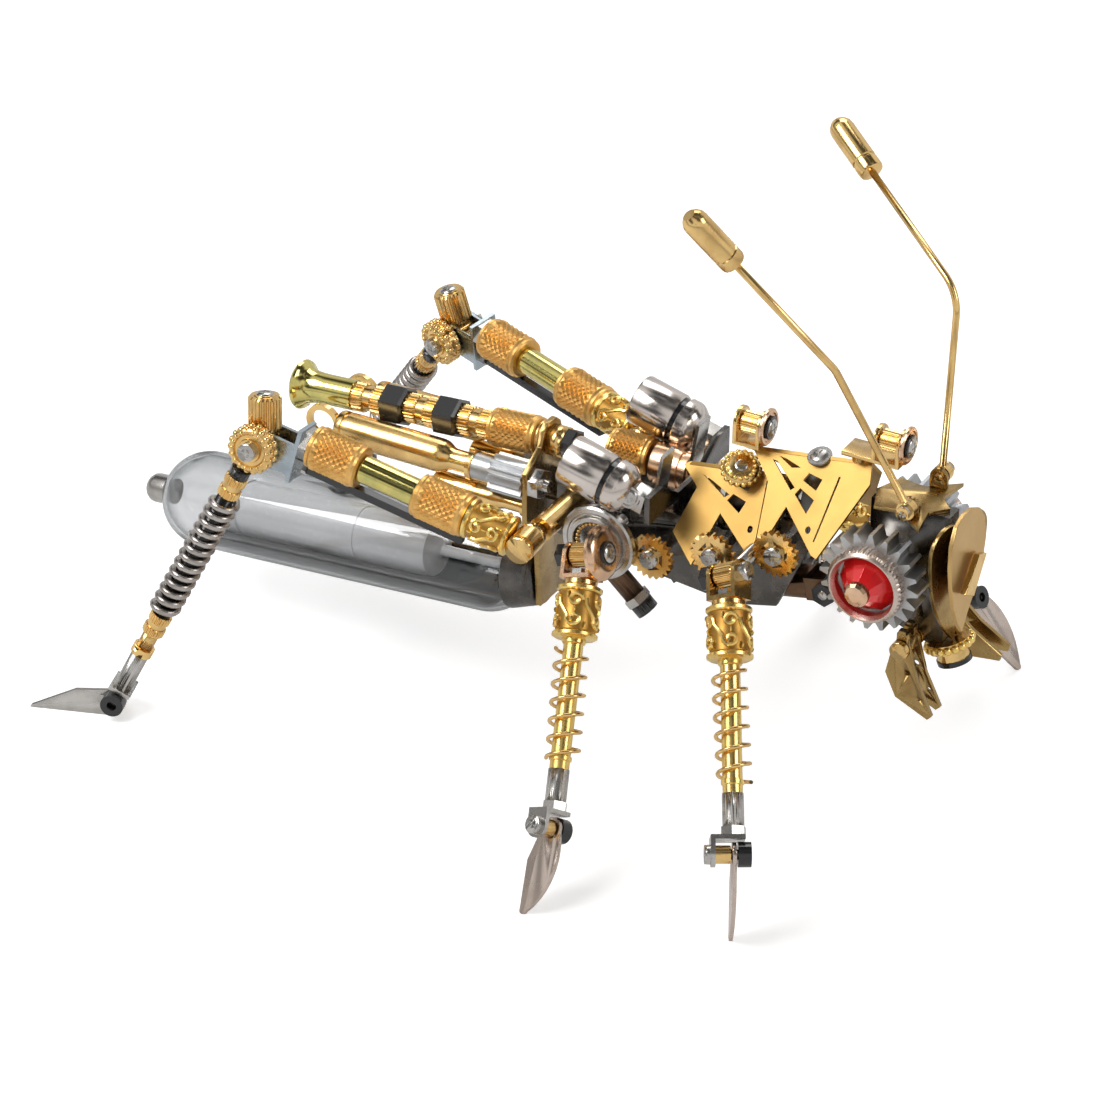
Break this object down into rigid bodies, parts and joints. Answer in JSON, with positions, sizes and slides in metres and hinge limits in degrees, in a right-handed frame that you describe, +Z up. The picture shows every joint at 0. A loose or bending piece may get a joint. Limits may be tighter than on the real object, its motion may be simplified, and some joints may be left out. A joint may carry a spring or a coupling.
{
  "type": "mechanical insect kit",
  "caption": "Standing mechanical insect of turned brass, steel plates and springs, with a smoked glass bulb for an abdomen, hinged legs, jaws and antennae.",
  "frame": {"origin": "on the ground under the middle of the whole insect, half way along and across its bounding box", "axes": "+X towards the head, +Y towards the insect's left side, +Z up"},
  "size_m": [0.2066, 0.1402, 0.1476],
  "materials": {
    "smoky_glass": "smoked, glossy",
    "silver_steel": "satin",
    "chromed": "polished",
    "brass": "polished",
    "satin_gold": "satin",
    "orange_brass": "knurled",
    "black_steel": "glossy black",
    "dark_brown": "ribbed, dark brown",
    "red_glass": "glossy red",
    "white_core": "white"
  },
  "bodies": {
    "thorax": {"bulb_glass": "smoky_glass", "bulb_core": "white_core", "bulb_caps": "silver_steel", "rear_shell": "satin_gold", "front_shell": "satin_gold", "side_plates": "silver_steel", "link_plate_and_nuts": "silver_steel", "trumpet_pipe": "brass", "pipe_inserts": "brass", "pipe_sleeve": "orange_brass", "pipe_nuts": "black_steel", "bullet_shells": "brass", "pinions": "silver_steel", "motor_cups": "chromed", "motor_bands": "black_steel", "belly_rods": "dark_brown", "cross_rods": "silver_steel", "hip_rollers": "brass", "hip_rings": "silver_steel", "side_gears": "brass", "gear_screws": "silver_steel", "top_eyelets": "brass", "neck_fork": "dark_brown"},
    "head": {"head_core": "satin_gold", "eye_gears": "silver_steel", "eye_bezels": "silver_steel", "eye_cones": "red_glass", "eye_bosses": "brass", "face_plates": "satin_gold", "crown_plates": "satin_gold", "head_screws": "silver_steel", "mouth_ring": "brass"},
    "jaw_left": {"jaw_left": "satin_gold"},
    "antenna_left_body": {"antenna_left": "brass"},
    "hind_left_upper": {"hind_left_thigh": "orange_brass", "hind_left_bracket": "silver_steel", "hind_left_knee_cap": "brass"},
    "hind_left_lower": {"hind_left_shin": "brass", "hind_left_spring": "silver_steel"},
    "hind_left_foot": {"hind_left_claw": "silver_steel"},
    "mid_left_leg": {"mid_left_post": "brass", "mid_left_yoke": "silver_steel"},
    "mid_left_foot": {"mid_left_claw": "silver_steel"},
    "front_left_leg": {"front_left_post": "brass", "front_left_yoke": "silver_steel"},
    "front_left_foot": {"front_left_claw": "silver_steel"},
    "jaw_right": {"jaw_right": "satin_gold"},
    "antenna_right_body": {"antenna_right": "brass"},
    "hind_right_upper": {"hind_right_thigh": "orange_brass", "hind_right_bracket": "silver_steel", "hind_right_knee_cap": "brass"},
    "hind_right_lower": {"hind_right_shin": "brass", "hind_right_spring": "silver_steel"},
    "hind_right_foot": {"hind_right_claw": "silver_steel"},
    "mid_right_leg": {"mid_right_post": "brass", "mid_right_yoke": "silver_steel"},
    "mid_right_foot": {"mid_right_claw": "silver_steel"},
    "front_right_leg": {"front_right_post": "brass", "front_right_yoke": "silver_steel"},
    "front_right_foot": {"front_right_claw": "silver_steel"}
  },
  "joints": [
    {"name": "head_nod", "type": "hinge", "parent": "thorax", "child": "head", "pos_m": [0.06923, -0.00084, 0.05], "axis": [0, 1, 0], "range_deg": [-2, 12]},
    {"name": "jaw_left_swing", "type": "hinge", "parent": "head", "child": "jaw_left", "pos_m": [0.08983, 0.00576, 0.0476], "axis": [0, 1, 0], "range_deg": [-15, 15]},
    {"name": "antenna_left_swing", "type": "hinge", "parent": "head", "child": "antenna_left_body", "pos_m": [0.08783, 0.00736, 0.0769], "axis": [0, 1, 0], "range_deg": [-15, 15]},
    {"name": "hind_left_hip", "type": "hinge", "parent": "thorax", "child": "hind_left_upper", "pos_m": [0.01223, 0.02466, 0.0556], "axis": [0.2924, 0.9563, 0], "range_deg": [-8, 15]},
    {"name": "hind_left_knee", "type": "hinge", "parent": "hind_left_upper", "child": "hind_left_lower", "pos_m": [-0.04493, 0.04281, 0.05771], "axis": [-0.3038, -0.9359, -0.1782], "range_deg": [-12, 12]},
    {"name": "hind_left_ankle", "type": "hinge", "parent": "hind_left_lower", "child": "hind_left_foot", "pos_m": [-0.08642, 0.06054, 0.0039], "axis": [-0.4797, -0.8772, -0.0201], "range_deg": [-12, 12]},
    {"name": "mid_left_hip", "type": "hinge", "parent": "thorax", "child": "mid_left_leg", "pos_m": [0.02383, 0.02116, 0.0545], "axis": [0.9466, 0, 0.3223], "range_deg": [-10, 12]},
    {"name": "mid_left_ankle", "type": "hinge", "parent": "mid_left_leg", "child": "mid_left_foot", "pos_m": [0.03751, 0.05766, 0.0143], "axis": [0.3625, -0.748, -0.5559], "range_deg": [-12, 12]},
    {"name": "front_left_hip", "type": "hinge", "parent": "thorax", "child": "front_left_leg", "pos_m": [0.05543, 0.01916, 0.0584], "axis": [0.8854, 0, 0.4648], "range_deg": [-10, 12]},
    {"name": "front_left_ankle", "type": "hinge", "parent": "front_left_leg", "child": "front_left_foot", "pos_m": [0.0759, 0.05374, 0.0194], "axis": [0.913, -0.0925, 0.3973], "range_deg": [-12, 12]},
    {"name": "jaw_right_swing", "type": "hinge", "parent": "head", "child": "jaw_right", "pos_m": [0.08983, -0.00744, 0.0476], "axis": [0, 1, 0], "range_deg": [-15, 15]},
    {"name": "antenna_right_swing", "type": "hinge", "parent": "head", "child": "antenna_right_body", "pos_m": [0.08783, -0.00904, 0.0769], "axis": [0, 1, 0], "range_deg": [-15, 15]},
    {"name": "hind_right_hip", "type": "hinge", "parent": "thorax", "child": "hind_right_upper", "pos_m": [0.01223, -0.02634, 0.0556], "axis": [-0.0767, 0.9971, 0], "range_deg": [-8, 15]},
    {"name": "hind_right_knee", "type": "hinge", "parent": "hind_right_upper", "child": "hind_right_lower", "pos_m": [-0.04678, -0.03153, 0.06521], "axis": [0.1145, -0.9778, 0.1753], "range_deg": [-12, 12]},
    {"name": "hind_right_ankle", "type": "hinge", "parent": "hind_right_lower", "child": "hind_right_foot", "pos_m": [-0.07459, -0.05151, 0.0039], "axis": [0.3304, -0.9414, 0.0682], "range_deg": [-12, 12]},
    {"name": "mid_right_hip", "type": "hinge", "parent": "thorax", "child": "mid_right_leg", "pos_m": [0.02383, -0.02284, 0.0545], "axis": [-0.9466, 0, -0.3223], "range_deg": [-10, 12]},
    {"name": "mid_right_ankle", "type": "hinge", "parent": "mid_right_leg", "child": "mid_right_foot", "pos_m": [0.03751, -0.05935, 0.0143], "axis": [-0.3625, -0.748, 0.5559], "range_deg": [-12, 12]},
    {"name": "front_right_hip", "type": "hinge", "parent": "thorax", "child": "front_right_leg", "pos_m": [0.05543, -0.02084, 0.0584], "axis": [-0.8854, 0, -0.4648], "range_deg": [-10, 12]},
    {"name": "front_right_ankle", "type": "hinge", "parent": "front_right_leg", "child": "front_right_foot", "pos_m": [0.0759, -0.05542, 0.0194], "axis": [-0.852, -0.5233, 0.0167], "range_deg": [-12, 12]}
  ]
}
